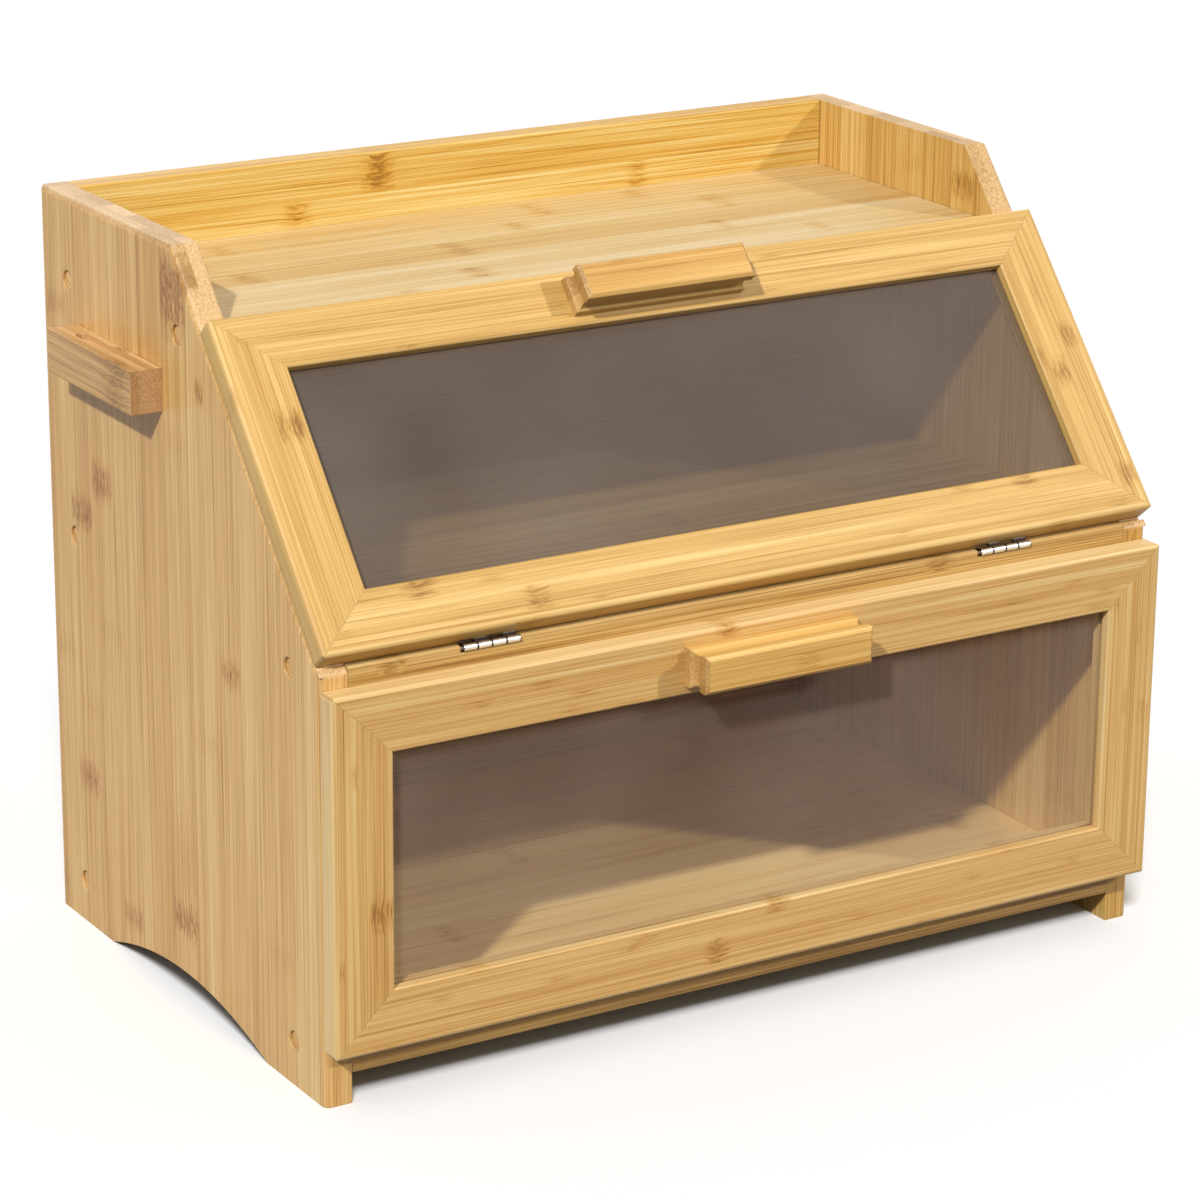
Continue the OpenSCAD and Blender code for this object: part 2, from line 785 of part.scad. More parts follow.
// A handle on the front of a door, shaped by its end and side outlines
module door_handle(height, drop) {
    difference() {
        translate([0, height - drop, door_t]) intersection() {
            across(handle_w) handle_outline(handle_h);
            translate([0, handle_h / 2, 0]) rotate([90, 0, 0])
                linear_extrude(handle_h) handle_outline(handle_w);
        }
        at_handle_screws(height, drop) handle_screw_hole();
    }
}

module upper_door_top_rail() {
    color(frame_colour) on_upper_door()
        door_top_rail(upper_h, upper_rail_w, upper_stile_w, upper_handle_drop);
}

module upper_door_bottom_rail() {
    color(frame_colour) on_upper_door()
        door_bottom_rail(upper_rail_w, upper_stile_w, upper_axis_v, upper_axis_w);
}

module upper_door_left_stile() {
    color(frame_colour) on_upper_door() door_left_stile(upper_h, upper_rail_w, upper_stile_w);
}

module upper_door_right_stile() {
    color(frame_colour) on_upper_door() mirror([1, 0, 0])
        door_left_stile(upper_h, upper_rail_w, upper_stile_w);
}

module upper_window() {
    color(clear_colour) on_upper_door() door_window(upper_h, upper_rail_w, upper_stile_w);
}

module upper_handle() {
    color(frame_colour) on_upper_door() door_handle(upper_h, upper_handle_drop);
}

module upper_handle_screws() {
    color(steel_colour) on_upper_door() at_handle_screws(upper_h, upper_handle_drop)
        handle_screw();
}

module lower_door_top_rail() {
    color(frame_colour) on_lower_door()
        door_top_rail(lower_h, lower_rail_w, lower_stile_w, lower_handle_drop);
}

module lower_door_bottom_rail() {
    color(frame_colour) on_lower_door()
        door_bottom_rail(lower_rail_w, lower_stile_w, lower_axis_v, lower_axis_w);
}

module lower_door_left_stile() {
    color(frame_colour) on_lower_door() door_left_stile(lower_h, lower_rail_w, lower_stile_w);
}

module lower_door_right_stile() {
    color(frame_colour) on_lower_door() mirror([1, 0, 0])
        door_left_stile(lower_h, lower_rail_w, lower_stile_w);
}

module lower_window() {
    color(clear_colour) on_lower_door() door_window(lower_h, lower_rail_w, lower_stile_w);
}

module lower_handle() {
    color(frame_colour) on_lower_door() door_handle(lower_h, lower_handle_drop);
}

module lower_handle_screws() {
    color(steel_colour) on_lower_door() at_handle_screws(lower_h, lower_handle_drop)
        handle_screw();
}

side_panel_left();
side_panel_right();
bottom_board();
middle_shelf();
tray_board();
tray_back_rail();
back_panel();
side_grip_left();
side_grip_right();
carcass_screws();
screw_plugs();
tray_rail_screws();
back_panel_screws();
side_grip_screws();
upper_hinge_shelf_leaves();
lower_hinge_board_leaves();
upper_hinge_pins();
lower_hinge_pins();
shelf_leaf_screws();
board_leaf_screws();
upper_magnets();
lower_magnets();
upper_door_top_rail();
upper_door_bottom_rail();
upper_door_left_stile();
upper_door_right_stile();
upper_window();
upper_handle();
upper_handle_screws();
upper_hinge_door_leaves();
upper_door_leaf_screws();
upper_strikes();
lower_door_top_rail();
lower_door_bottom_rail();
lower_door_left_stile();
lower_door_right_stile();
lower_window();
lower_handle();
lower_handle_screws();
lower_hinge_door_leaves();
lower_door_leaf_screws();
lower_strikes();
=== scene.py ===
import math
import bpy
import bmesh
from mathutils import Euler, Matrix, Vector

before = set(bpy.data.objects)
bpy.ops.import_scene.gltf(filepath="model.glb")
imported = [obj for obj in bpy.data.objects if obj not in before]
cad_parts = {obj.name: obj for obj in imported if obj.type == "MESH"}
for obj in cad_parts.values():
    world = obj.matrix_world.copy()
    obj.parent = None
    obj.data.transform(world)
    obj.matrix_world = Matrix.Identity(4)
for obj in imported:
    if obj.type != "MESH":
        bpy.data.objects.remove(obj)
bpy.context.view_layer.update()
print("frame loaded:", len(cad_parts), "parts")

# Places below are millimetres in the part's own frame: X across the front, +Y to the back, Z up
mmPerMetre = 1000

cameraView = {
    "place": (-901.81, -1466.05, 714.36),
    "turn": 31.417,  # degrees from straight on, towards the box's left side
    "tilt": 18.221,  # degrees down
    "roll": 0.506,
    "lens": 126.34,
    "sensor": 36,
}


def addCamera(view):
    cameraData = bpy.data.cameras.new("photoCamera")
    cameraData.sensor_width = view["sensor"]
    cameraData.lens = view["lens"]
    camera = bpy.data.objects.new("photoCamera", cameraData)
    bpy.context.scene.collection.objects.link(camera)
    turned = Euler((math.radians(90 - view["tilt"]), 0, math.radians(-view["turn"]))).to_matrix()
    rolled = turned @ Matrix.Rotation(math.radians(view["roll"]), 3, "Z")
    place = Vector(view["place"]) / mmPerMetre
    camera.matrix_world = Matrix.Translation(place) @ rolled.to_4x4()
    bpy.context.scene.camera = camera


addCamera(cameraView)
print("camera placed")


# sRGB hex text to linear red, green, blue and alpha
def linearColour(hexText):
    parts = [int(hexText[i:i + 2], 16) / 255 for i in (1, 3, 5)]
    return [p / 12.92 if p <= 0.04045 else ((p + 0.055) / 1.055) ** 2.4 for p in parts] + [1]


def addNode(tree, kind, inputs=None, **settings):
    node = tree.nodes.new("ShaderNode" + kind)
    for name, value in settings.items():
        setattr(node, name, value)
    for name, value in (inputs or {}).items():
        if isinstance(value, bpy.types.NodeSocket):
            tree.links.new(value, node.inputs[name])
        else:
            node.inputs[name].default_value = value
    return node


def fillRamp(ramp, stops):
    # stops are pairs of position and hex colour
    while len(ramp.elements) > 1:
        ramp.elements.remove(ramp.elements[-1])
    for count, (position, colour) in enumerate(stops):
        stop = ramp.elements[0] if count == 0 else ramp.elements.new(position)
        stop.position = position
        stop.color = linearColour(colour)


def newMaterial(name):
    material = bpy.data.materials.new(name)
    material.use_nodes = True
    material.node_tree.nodes.clear()
    return material, material.node_tree


def newGroup(name, inputs, outputs):
    group = bpy.data.node_groups.new(name, "ShaderNodeTree")
    for socket, kind in inputs.items():
        group.interface.new_socket(socket, in_out="INPUT", socket_type="NodeSocket" + kind)
    for socket, kind in outputs.items():
        group.interface.new_socket(socket, in_out="OUTPUT", socket_type="NodeSocket" + kind)
    return group, group.nodes.new("NodeGroupInput").outputs, group.nodes.new("NodeGroupOutput")


# What the cane shows, in mm along the grain, across it and through the board
grainSizes = {
    "waver": (9, 5, 5),          # fibres and joints stray from a straight line
    "drift": (170, 16, 16),      # slow change of tone within a strip
    "bands": (260, 1.9, 1.9),    # streaks along it
    "fibre": (100, 0.55, 0.55),  # really about 0.3 mm wide: drawn wider, so that they show
    "fleck": (4.5, 0.9, 0.9),    # short dark marks in a joint
    "ragged": (6, 3, 3),         # uneven outline of a joint at a place of its own
    "cutFibre": (30, 0.8, 0.7),  # dots on the ends of a board
}
grainScales = {name: tuple(1 / mm for mm in size) for name, size in grainSizes.items()}

cane = {
    "middleTone": 0.6,
    "jointPitch": 260,          # mm from one joint to the next
    "jointReach": 0.034,        # half the length of a joint, as a share of the pitch
    "noJoint": 0.45,            # share of the strips that have none
    "wobble": 9,                # mm by which the line of a joint strays
    "push": 5,                  # mm by which the fibres step aside at a joint
    "nextCane": (900, 0, 60),   # mm, the most by which the grain of a strip starts elsewhere
    "thinLine": (0.34, 0.46),   # how deep a fibre is, from a brown line to none
    "fleck": (0.36, 0.62),      # the same for the flecks of a joint
    "fleckDepth": (1.15, 0.35),
    "glueLine": (0.15, 0.5),    # mm from the edge of a strip, from full to none
    "ragged": 0.8,              # how much the outline of a joint strays, as a share of its reach
    "jointEnd": (0.4, 1.5),     # shares of a joint's reach and half width, from full to none
    "jointSide": (0.7, 1.1),
}


# Strips of bamboo, glued side by side in two plies. Point is in mm: along the grain, across it
# and through the board. Tone runs from 0, the darkest wood, to 1, the palest. Joint is where the
# cane had a joint, from 0 to 1.
def makeBambooPattern():
    group, given, result = newGroup(
        "bambooPattern",
        {"Point": "Vector", "Joint": "Float", "Strip": "Float", "Ply": "Float", "Seed": "Float",
         "Spread": "Float", "Drift": "Float", "Bands": "Float", "Fibre": "Float",
         "Lines": "Float", "Knots": "Float", "Seams": "Float"},
        {"Tone": "Float", "Fibre": "Float", "Own": "Float"})
    axes = addNode(group, "SeparateXYZ", {0: given["Point"]}).outputs
    stripPlace = addNode(group, "Math", {0: axes["Y"], 1: given["Strip"]},
                         operation="DIVIDE").outputs[0]
    stripNumber = addNode(group, "Math", {0: stripPlace}, operation="FLOOR").outputs[0]
    plyPlace = addNode(group, "Math", {0: axes["Z"], 1: given["Ply"]},
                       operation="DIVIDE").outputs[0]
    plyNumber = addNode(group, "Math", {0: plyPlace}, operation="FLOOR").outputs[0]
    stripKey = addNode(group, "CombineXYZ",
                       {0: stripNumber, 1: plyNumber, 2: given["Seed"]}).outputs[0]
    chance = addNode(group, "TexWhiteNoise", {"Vector": stripKey}, noise_dimensions="3D").outputs
    chances = addNode(group, "SeparateXYZ", {0: chance["Color"]}).outputs

    # joints of the cane, at an even pitch on some of the strips
    wavePoint = addNode(group, "VectorMath", {0: given["Point"], 1: grainScales["waver"]},
                        operation="MULTIPLY").outputs[0]
    wave = addNode(group, "TexNoise", {"Vector": wavePoint, "Scale": 1, "Detail": 1}).outputs[0]
    alongStrip = addNode(group, "Math", {0: chances["Z"], 1: cane["jointPitch"], 2: axes["X"]},
                         operation="MULTIPLY_ADD").outputs[0]
    wobble = addNode(group, "Math", {0: wave, 1: cane["wobble"], 2: alongStrip},
                     operation="MULTIPLY_ADD").outputs[0]
    inCycle = addNode(group, "Math", {0: wobble, 1: 1 / cane["jointPitch"]},
                      operation="MULTIPLY").outputs[0]
    jointPlace = addNode(group, "Math", {0: inCycle}, operation="FRACT").outputs[0]
    fromJoint = addNode(group, "Math", {0: jointPlace, 1: 0.5}, operation="SUBTRACT").outputs[0]
    jointGap = addNode(group, "Math", {0: fromJoint}, operation="ABSOLUTE").outputs[0]
    ownJoint = addNode(group, "MapRange", {"Value": jointGap, "From Max": cane["jointReach"],
                                           "To Min": 1, "To Max": 0},
                       interpolation_type="SMOOTHSTEP").outputs[0]
    hasJoint = addNode(group, "Math", {0: chances["Y"], 1: cane["noJoint"]},
                       operation="GREATER_THAN").outputs[0]
    jointSeen = addNode(group, "Math", {0: ownJoint, 1: hasJoint}, operation="MULTIPLY").outputs[0]
    joint = addNode(group, "Math", {0: jointSeen, 1: given["Knots"], 2: given["Joint"]},
                    operation="MULTIPLY_ADD").outputs[0]

    # every strip is cut from another cane, so its grain starts somewhere else; fibres run
    # straight, and waver where they pass a joint
    ownPoint = addNode(group, "VectorMath",
                       {0: chance["Color"], 1: cane["nextCane"], 2: given["Point"]},
                       operation="MULTIPLY_ADD").outputs[0]
    push = addNode(group, "Math", {0: wave, 1: joint}, operation="MULTIPLY").outputs[0]
    pushMm = addNode(group, "Math", {0: push, 1: cane["push"]}, operation="MULTIPLY").outputs[0]
    pushWay = addNode(group, "CombineXYZ", {1: pushMm}).outputs[0]
    grainPoint = addNode(group, "VectorMath", {0: ownPoint, 1: pushWay}, operation="ADD").outputs[0]
    driftPoint = addNode(group, "VectorMath", {0: ownPoint, 1: grainScales["drift"]},
                         operation="MULTIPLY").outputs[0]
    drift = addNode(group, "TexNoise", {"Vector": driftPoint, "Scale": 1, "Detail": 2}).outputs[0]
    bandPoint = addNode(group, "VectorMath", {0: grainPoint, 1: grainScales["bands"]},
                        operation="MULTIPLY").outputs[0]
    bands = addNode(group, "TexNoise", {"Vector": bandPoint, "Scale": 1, "Detail": 1}).outputs[0]
    fibrePoint = addNode(group, "VectorMath", {0: grainPoint, 1: grainScales["fibre"]},
                         operation="MULTIPLY").outputs[0]
    fibre = addNode(group, "TexNoise", {"Vector": fibrePoint, "Scale": 1, "Detail": 2,
                                        "Roughness": 0.6}).outputs[0]

    tone = cane["middleTone"]
    for noise, strength in ((chance["Value"], "Spread"), (drift, "Drift"), (bands, "Bands"),
                            (fibre, "Fibre")):
        centred = addNode(group, "Math", {0: noise, 1: 0.5}, operation="SUBTRACT").outputs[0]
        tone = addNode(group, "Math", {0: centred, 1: given[strength], 2: tone},
                       operation="MULTIPLY_ADD").outputs[0]
    # the deepest fibres are thin brown lines
    thinLine = addNode(group, "MapRange", {
        "Value": fibre, "From Min": cane["thinLine"][0], "From Max": cane["thinLine"][1],
        "To Min": 1, "To Max": 0}).outputs[0]
    lineDepth = addNode(group, "Math", {0: thinLine, 1: given["Lines"]},
                        operation="MULTIPLY").outputs[0]
    tone = addNode(group, "Math", {0: tone, 1: lineDepth}, operation="SUBTRACT").outputs[0]

    # a joint is a soft brown cloud full of short dark flecks
    fleckPoint = addNode(group, "VectorMath", {0: grainPoint, 1: grainScales["fleck"]},
                         operation="MULTIPLY").outputs[0]
    fleck = addNode(group, "TexNoise", {"Vector": fleckPoint, "Scale": 1, "Detail": 1}).outputs[0]
    fleckDepth = addNode(group, "MapRange", {
        "Value": fleck, "From Min": cane["fleck"][0], "From Max": cane["fleck"][1],
        "To Min": cane["fleckDepth"][0], "To Max": cane["fleckDepth"][1]}).outputs[0]
    jointDepth = addNode(group, "Math", {0: joint, 1: fleckDepth}, operation="MULTIPLY").outputs[0]
    tone = addNode(group, "Math", {0: tone, 1: jointDepth}, operation="SUBTRACT").outputs[0]

    # glue lines between the strips
    acrossStrip = addNode(group, "Math", {0: stripPlace}, operation="FRACT").outputs[0]
    fromMiddle = addNode(group, "Math", {0: acrossStrip, 1: 0.5}, operation="SUBTRACT").outputs[0]
    edgeShare = addNode(group, "Math", {0: fromMiddle}, operation="ABSOLUTE").outputs[0]
    edgeGap = addNode(group, "Math", {0: 0.5, 1: edgeShare}, operation="SUBTRACT").outputs[0]
    edgeDistance = addNode(group, "Math", {0: edgeGap, 1: given["Strip"]},
                           operation="MULTIPLY").outputs[0]
    seam = addNode(group, "MapRange", {
        "Value": edgeDistance, "From Min": cane["glueLine"][0], "From Max": cane["glueLine"][1],
        "To Min": 1, "To Max": 0}).outputs[0]
    seamDepth = addNode(group, "Math", {0: seam, 1: given["Seams"]},
                        operation="MULTIPLY").outputs[0]
    tone = addNode(group, "Math", {0: tone, 1: seamDepth}, operation="SUBTRACT").outputs[0]
    group.links.new(tone, result.inputs["Tone"])
    group.links.new(fibre, result.inputs["Fibre"])
    group.links.new(chance["Value"], result.inputs["Own"])
    return group


# One joint of the cane at a place of its own, added to the joints so far
def makeCaneJoint():
    group, given, result = newGroup(
        "caneJoint",
        {"Point": "Vector", "Place": "Vector", "Reach": "Vector", "Depth": "Float",
         "Joint": "Float"},
        {"Joint": "Float"})
    roughPoint = addNode(group, "VectorMath", {0: given["Point"], 1: grainScales["ragged"]},
                         operation="MULTIPLY").outputs[0]
    rough = addNode(group, "TexNoise", {"Vector": roughPoint, "Scale": 1, "Detail": 1}).outputs[0]
    away = addNode(group, "VectorMath", {0: given["Point"], 1: given["Place"]},
                   operation="SUBTRACT").outputs[0]
    share = addNode(group, "VectorMath", {0: away, 1: given["Reach"]},
                    operation="DIVIDE").outputs[0]
    distance = addNode(group, "VectorMath", {0: share}, operation="ABSOLUTE").outputs[0]
    sides = addNode(group, "SeparateXYZ", {0: distance}).outputs
    ragged = addNode(group, "Math", {0: rough, 1: cane["ragged"], 2: sides["X"]},
                     operation="MULTIPLY_ADD").outputs[0]
    along = addNode(group, "MapRange", {
        "Value": ragged, "From Min": cane["jointEnd"][0], "From Max": cane["jointEnd"][1],
        "To Min": 1, "To Max": 0}, interpolation_type="SMOOTHSTEP").outputs[0]
    across = addNode(group, "MapRange", {
        "Value": sides["Y"], "From Min": cane["jointSide"][0], "From Max": cane["jointSide"][1],
        "To Min": 1, "To Max": 0}, interpolation_type="SMOOTHSTEP").outputs[0]
    through = addNode(group, "Math", {0: sides["Z"], 1: 1}, operation="LESS_THAN").outputs[0]
    face = addNode(group, "Math", {0: along, 1: across}, operation="MULTIPLY").outputs[0]
    patch = addNode(group, "Math", {0: face, 1: through}, operation="MULTIPLY").outputs[0]
    total = addNode(group, "Math", {0: patch, 1: given["Depth"], 2: given["Joint"]},
                    operation="MULTIPLY_ADD").outputs[0]
    group.links.new(total, result.inputs["Joint"])
    return group


bambooPattern = makeBambooPattern()
caneJoint = makeCaneJoint()

lacquer = {
    "toneStops": (0, 0.35, 0.65, 1),
    "endStops": (0.42, 0.95),
    "endFacing": (0.3, 0.7),       # how squarely a face cuts the grain, from long face to end
    "arrisRadius": 0.6,            # mm: the real arrises are broken by about half a millimetre
    "arrisFlatness": (0.8, 0.995),  # from arris to flat face
    # share of the palest tone drawn on the arrises, a painted highlight
    "arrisHighlightShare": 0.3,
    "fibreDepth": (0.3, 0.7),
    "roughness": (0.4, 0.52),      # in the fibres and beside them
    "fibreBump": 0.5,
    "fibreHeight": 0.1,            # mm
}


# Solid bamboo board, planed, sanded and lacquered satin: a soft broad sheen over fine straight
# fibres, each strip a little different in tone, with speckled ends where the fibres are cut
def lacqueredBamboo(name, wood):
    material, tree = newMaterial(name)
    grain = Vector(wood["grain"]).normalized()
    across = Vector(wood["across"]).normalized()
    turn = Matrix((grain, across, grain.cross(across)))
    place = turn @ Vector(wood["start"])
    coords = addNode(tree, "TexCoord").outputs
    point = addNode(tree, "Mapping", {"Vector": coords["Object"], "Scale": [mmPerMetre] * 3,
                                      "Rotation": turn.to_euler(), "Location": -place}).outputs[0]
    pattern = addNode(tree, "Group", node_tree=bambooPattern)
    tree.links.new(point, pattern.inputs["Point"])
    for socket in ("Strip", "Ply", "Seed", "Spread", "Drift", "Bands", "Fibre", "Lines", "Knots",
                   "Seams"):
        pattern.inputs[socket].default_value = wood[socket.lower()]
    joints = None
    for along, side, reach, halfWidth, depth in wood["joints"]:
        joint = addNode(tree, "Group", node_tree=caneJoint)
        tree.links.new(point, joint.inputs["Point"])
        if joints:
            tree.links.new(joints, joint.inputs["Joint"])
        joint.inputs["Place"].default_value = (along, side, wood["jointPly"][0])
        joint.inputs["Reach"].default_value = (reach, halfWidth, wood["jointPly"][1])
        joint.inputs["Depth"].default_value = depth
        joints = joint.outputs["Joint"]
    if joints:
        tree.links.new(joints, pattern.inputs["Joint"])
    # the edges of the board show the strips from their side, darker or paler than its faces; on the
    # bottom board, the shelf and the lower door this is also painted shade and painted light
    onEdge = addNode(tree, "VectorMath", {0: coords["Normal"], 1: across},
                     operation="DOT_PRODUCT").outputs["Value"]
    edgeOn = addNode(tree, "Math", {0: onEdge}, operation="ABSOLUTE").outputs[0]
    tone = addNode(tree, "Math", {0: edgeOn, 1: wood["edgeTone"], 2: pattern.outputs["Tone"]},
                   operation="MULTIPLY_ADD").outputs[0]
    face = addNode(tree, "ValToRGB", {"Fac": tone})
    fillRamp(face.color_ramp, zip(lacquer["toneStops"], wood["tones"]))

    # cut fibres are dots, browner than the faces, and every strip has its own tone
    endPoint = addNode(tree, "VectorMath", {0: point, 1: grainScales["cutFibre"]},
                       operation="MULTIPLY").outputs[0]
    dots = addNode(tree, "TexNoise", {"Vector": endPoint, "Scale": 1, "Detail": 1}).outputs[0]
    endTone = addNode(tree, "Math", {0: pattern.outputs["Own"], 1: wood["ownEnds"], 2: dots},
                      operation="MULTIPLY_ADD").outputs[0]
    if joints:
        endTone = addNode(tree, "Math", {0: joints, 1: -1, 2: endTone},
                          operation="MULTIPLY_ADD").outputs[0]
    ends = addNode(tree, "ValToRGB", {"Fac": endTone})
    fillRamp(ends.color_ramp, zip(lacquer["endStops"], wood["ends"]))
    facing = addNode(tree, "VectorMath", {0: coords["Normal"], 1: grain},
                     operation="DOT_PRODUCT").outputs["Value"]
    squareOn = addNode(tree, "Math", {0: facing}, operation="ABSOLUTE").outputs[0]
    endShare = addNode(tree, "MapRange", {
        "Value": squareOn, "From Min": lacquer["endFacing"][0],
        "From Max": lacquer["endFacing"][1], "To Max": wood["endShare"]}).outputs[0]
    woodColour = addNode(tree, "Mix", {"Factor": endShare}, data_type="RGBA")
    tree.links.new(face.outputs["Color"], woodColour.inputs[6])
    tree.links.new(ends.outputs["Color"], woodColour.inputs[7])

    # painted highlight: the arrises are drawn a little paler, mixed toward the palest tone, as if
    # catching the light
    softEdge = addNode(tree, "Bevel", {"Radius": lacquer["arrisRadius"] / mmPerMetre},
                       samples=4).outputs[0]
    trueNormal = addNode(tree, "NewGeometry").outputs["Normal"]
    flatness = addNode(tree, "VectorMath", {0: softEdge, 1: trueNormal},
                       operation="DOT_PRODUCT").outputs["Value"]
    paintedHighlight = addNode(tree, "MapRange", {
        "Value": flatness, "From Min": lacquer["arrisFlatness"][0],
        "From Max": lacquer["arrisFlatness"][1],
        "To Min": lacquer["arrisHighlightShare"], "To Max": 0}).outputs[0]
    colour = addNode(tree, "Mix", {"Factor": paintedHighlight}, data_type="RGBA")
    tree.links.new(woodColour.outputs[2], colour.inputs[6])
    colour.inputs[7].default_value = linearColour(wood["tones"][-1])

    roughness = addNode(tree, "MapRange", {
        "Value": pattern.outputs["Fibre"],
        "From Min": lacquer["fibreDepth"][0], "From Max": lacquer["fibreDepth"][1],
        "To Min": lacquer["roughness"][0], "To Max": lacquer["roughness"][1]}).outputs[0]
    bump = addNode(tree, "Bump", {
        "Height": pattern.outputs["Fibre"], "Strength": lacquer["fibreBump"],
        "Distance": lacquer["fibreHeight"] / mmPerMetre, "Normal": softEdge}).outputs[0]
    shader = addNode(tree, "BsdfPrincipled", {"Base Color": colour.outputs[2],
                                              "Roughness": roughness, "Normal": bump})
    addNode(tree, "OutputMaterial", {"Surface": shader.outputs[0]})
    return material


def bambooLook(base, **changes):
    return {**base, **changes}


# each joint is given along the grain and across it, then its reach, half width and depth
plainBamboo = {
    "grain": (1, 0, 0), "across": (0, 1, 0), "start": (0, 0, 0),
    "strip": 21, "ply": 6.2, "seed": 1, "spread": 0.28, "drift": 0.6, "bands": 0.7, "fibre": 1.2,
    "lines": 0.16, "knots": 0.3, "seams": 0.15, "joints": [],
    "tones": ("#885F27", "#AE8644", "#C39E5E", "#D6BB83"),
    "ends": ("#94703F", "#C4A26C"), "endShare": 0.85, "ownEnds": 0.35,
    "edgeTone": 0, "jointPly": (0, 1000),  # middle and half thickness of the ply with the joints
}
sideBamboo = bambooLook(
    plainBamboo, grain=(0, 0, 1), start=(-194, 0, 0), strip=22, seed=3,
    spread=0.26, drift=0.45, bands=0.6, fibre=1.1, knots=0.1, edgeTone=-0.16,
    tones=("#925E28", "#BD8D4C", "#D5AA6A", "#E9C88D"), ends=("#99733F", "#D8B484"))
gripBamboo = bambooLook(
    plainBamboo, grain=(0, 1, 0), across=(0, 0, 1), start=(0, 0, 254), strip=19, ply=7,
    tones=("#8B6233", "#B98B50", "#D6AC74", "#EDCA9A"))
upperDoor = {"start": (0, -108.12, 183.81), "up": (0, 0.6481, 0.7615)}
lowerDoor = {"start": (0, -112.15, 24.0), "up": (0, 0, 1)}
doorBamboo = bambooLook(
    plainBamboo, strip=3.1, ply=10, spread=0.2, drift=0.5, bands=0.45, fibre=0.9, knots=0.2,
    lines=0.1, seams=0.08, tones=("#8A5D1F", "#B1863D", "#C9A15B", "#E0BF7C"),
    ends=("#966C38", "#C9A062"))
# painted light: the edges of the lower door's members are drawn paler than their fronts, for the
# side face lit by the key lamp
lowerBamboo = bambooLook(
    doorBamboo, edgeTone=0.2, tones=("#8F6024", "#B88945", "#CBA262", "#DFC28A"))

bambooPieces = {
    "side_panel_left": bambooLook(sideBamboo, jointPly=(3, 3.2), joints=[
        (305, 11, 22, 12, 0.7), (270, -11, 7, 4, 0.5), (190, 105, 10, 11, 0.55),
        (208, 84, 11, 10, 0.55), (277, 124, 7, 9, 0.25), (70, 105, 10, 11, 0.4),
        (159, -35, 8, 9, 0.4), (19, 63, 8, 10, 0.35), (36, 11, 10, 12, 0.55),
        (62, 11, 30, 12, 0.15)]),
    "side_panel_right": bambooLook(sideBamboo, start=(194, 0, 0), seed=8,
                                   tones=("#91652A", "#BA8C42", "#CFA75F", "#DEC386"),
                                   joints=[(307, 13, 8, 9, 0.45)]),
    # painted light and shade: the bottom board's tones are paler than the other boards', standing
    # in for light inside the lower compartment, and its front edge, in the shade under the lower
    # door, is drawn darker
    "bottom_board": bambooLook(plainBamboo, start=(0, 0, 19.2), seed=4, bands=0.4, fibre=0.8,
                               edgeTone=-0.45, tones=("#9C7030", "#DCB168", "#F0CC88", "#F6DCA2")),
    # painted shade: the shelf's front edge, in the shade under the upper door, is drawn darker
    "middle_shelf": bambooLook(plainBamboo, start=(0, 0, 177.2), seed=5, edgeTone=-0.25),
    "tray_board": bambooLook(plainBamboo, start=(0, 0, 289), seed=6, strip=24, fibre=0.9, bands=0.8,
                             tones=("#9B7238", "#BE9757", "#CAAC75", "#D6C197"), joints=[
                                 (1, 84, 7, 9, 0.35), (-55, 20, 9, 9, 0.5), (-97, 1, 9, 8, 0.4),
                                 (79, 114, 7, 8, 0.3), (81, 44, 7, 9, 0.3), (117, 20, 7, 9, 0.3),
                                 (-132, 105, 7, 8, 0.3), (-144, 56, 8, 9, 0.35)]),
    "tray_back_rail": bambooLook(plainBamboo, across=(0, 0, 1), start=(0, 0, 307), seed=7,
                                 strip=18, spread=0.2, drift=0.4, bands=0.45,
                                 tones=("#966516", "#C29030", "#D0AB58", "#DFCC8C"),
                                 joints=[(-45, 9, 10, 9, 0.6), (-85, -6, 9, 6, 0.4)]),
    "back_panel": bambooLook(plainBamboo, across=(0, 0, 1), start=(0, 0, 13.2), seed=9, strip=22),
    "side_grip_left": bambooLook(gripBamboo, seed=10, ends=("#A87D50", "#D8B184"),
                                 jointPly=(-214, 4), joints=[(37, 9, 17, 14, 0.36)]),
    "side_grip_right": bambooLook(gripBamboo, seed=11),
    "screw_plugs": bambooLook(plainBamboo, grain=(0, 0.8, 0.6), across=(0, -0.6, 0.8), seed=12,
                              strip=9, tones=("#93652F", "#C19353", "#DAAE70", "#EECD94")),
    "upper_handle": bambooLook(doorBamboo, across=upperDoor["up"], start=upperDoor["start"],
                               strip=7, seed=31,
                               tones=("#8C5A1B", "#B38136", "#C89A51", "#DBB973")),
    "lower_handle": bambooLook(doorBamboo, across=lowerDoor["up"], start=lowerDoor["start"],
                               strip=7, seed=32,
                               tones=("#915F1E", "#B9883C", "#CFA258", "#E3C27C")),
}
